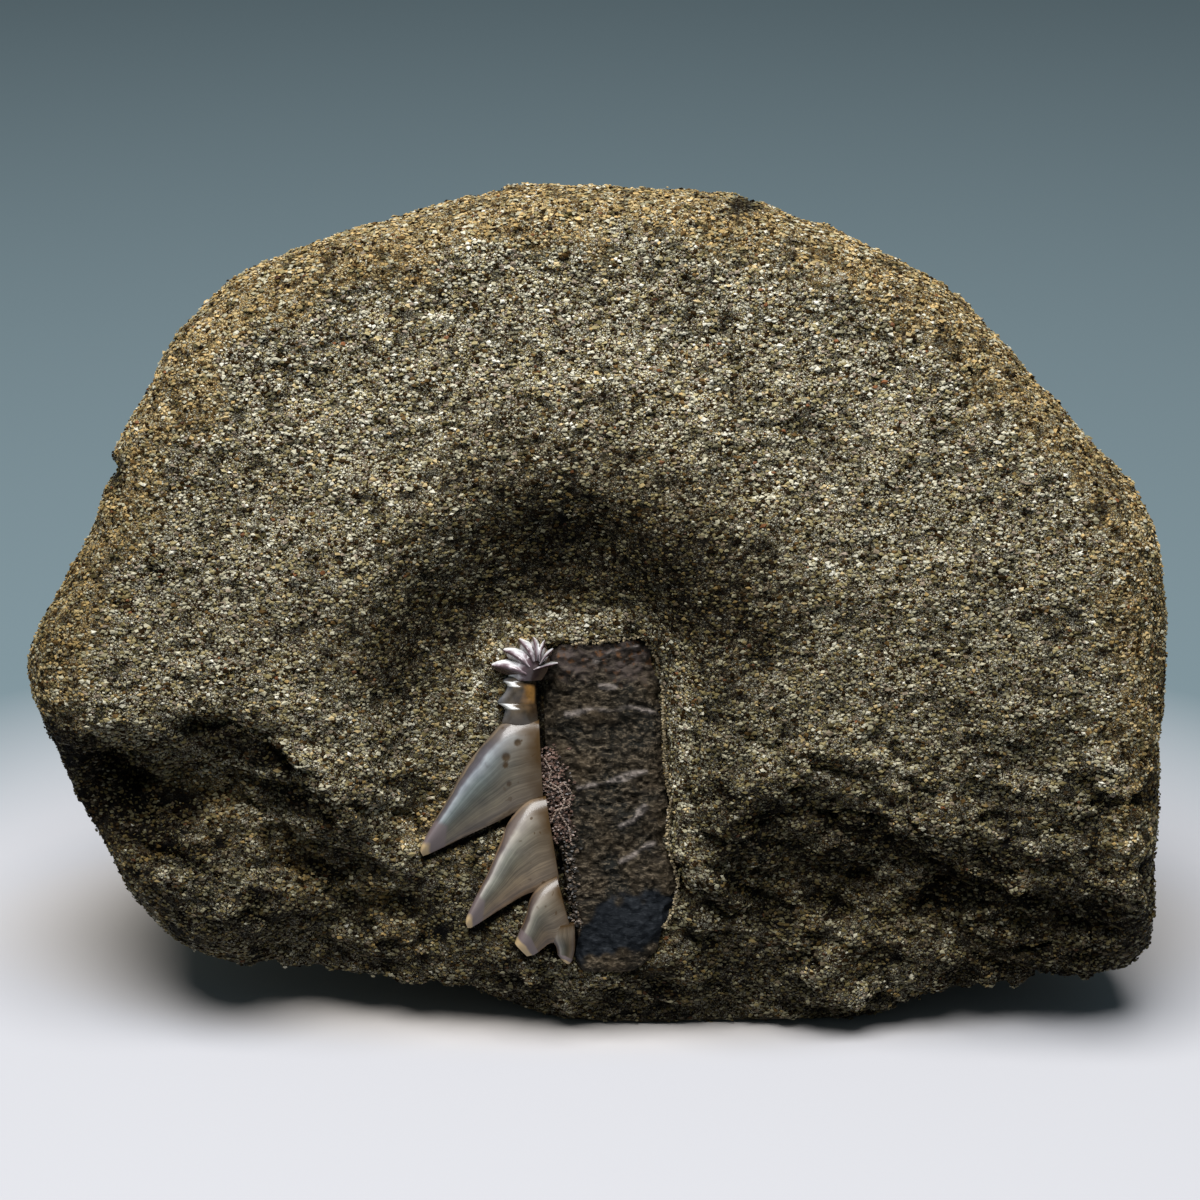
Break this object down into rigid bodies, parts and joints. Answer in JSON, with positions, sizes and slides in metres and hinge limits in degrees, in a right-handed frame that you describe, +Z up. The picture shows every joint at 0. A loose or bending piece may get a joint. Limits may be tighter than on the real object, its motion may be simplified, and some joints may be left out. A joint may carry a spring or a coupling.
{
  "type": "fossil sevengill shark tooth in matrix",
  "caption": "Comb-like fossil shark tooth lying in the broken face of a rounded sandstone nodule half that stands on a small flat spot.",
  "frame": {"origin": "middle of the bounding box's bottom, in the plane of the flat spot that the stone stands on", "axes": "+Z up, +X to the right along the broken face, -Y out of the broken face that shows the tooth"},
  "size_m": [0.0852, 0.0458, 0.0613],
  "materials": {
    "sandstone": "rough salt-and-pepper sandstone with a tan weathered rind",
    "enamel": "glossy blue-grey fossil enamel, cream at the tips and amber at the base",
    "root": "matte dark brown fossil root"
  },
  "bodies": {
    "root": {"sandstone_matrix": "sandstone", "tooth": "enamel"}
  },
  "joints": []
}
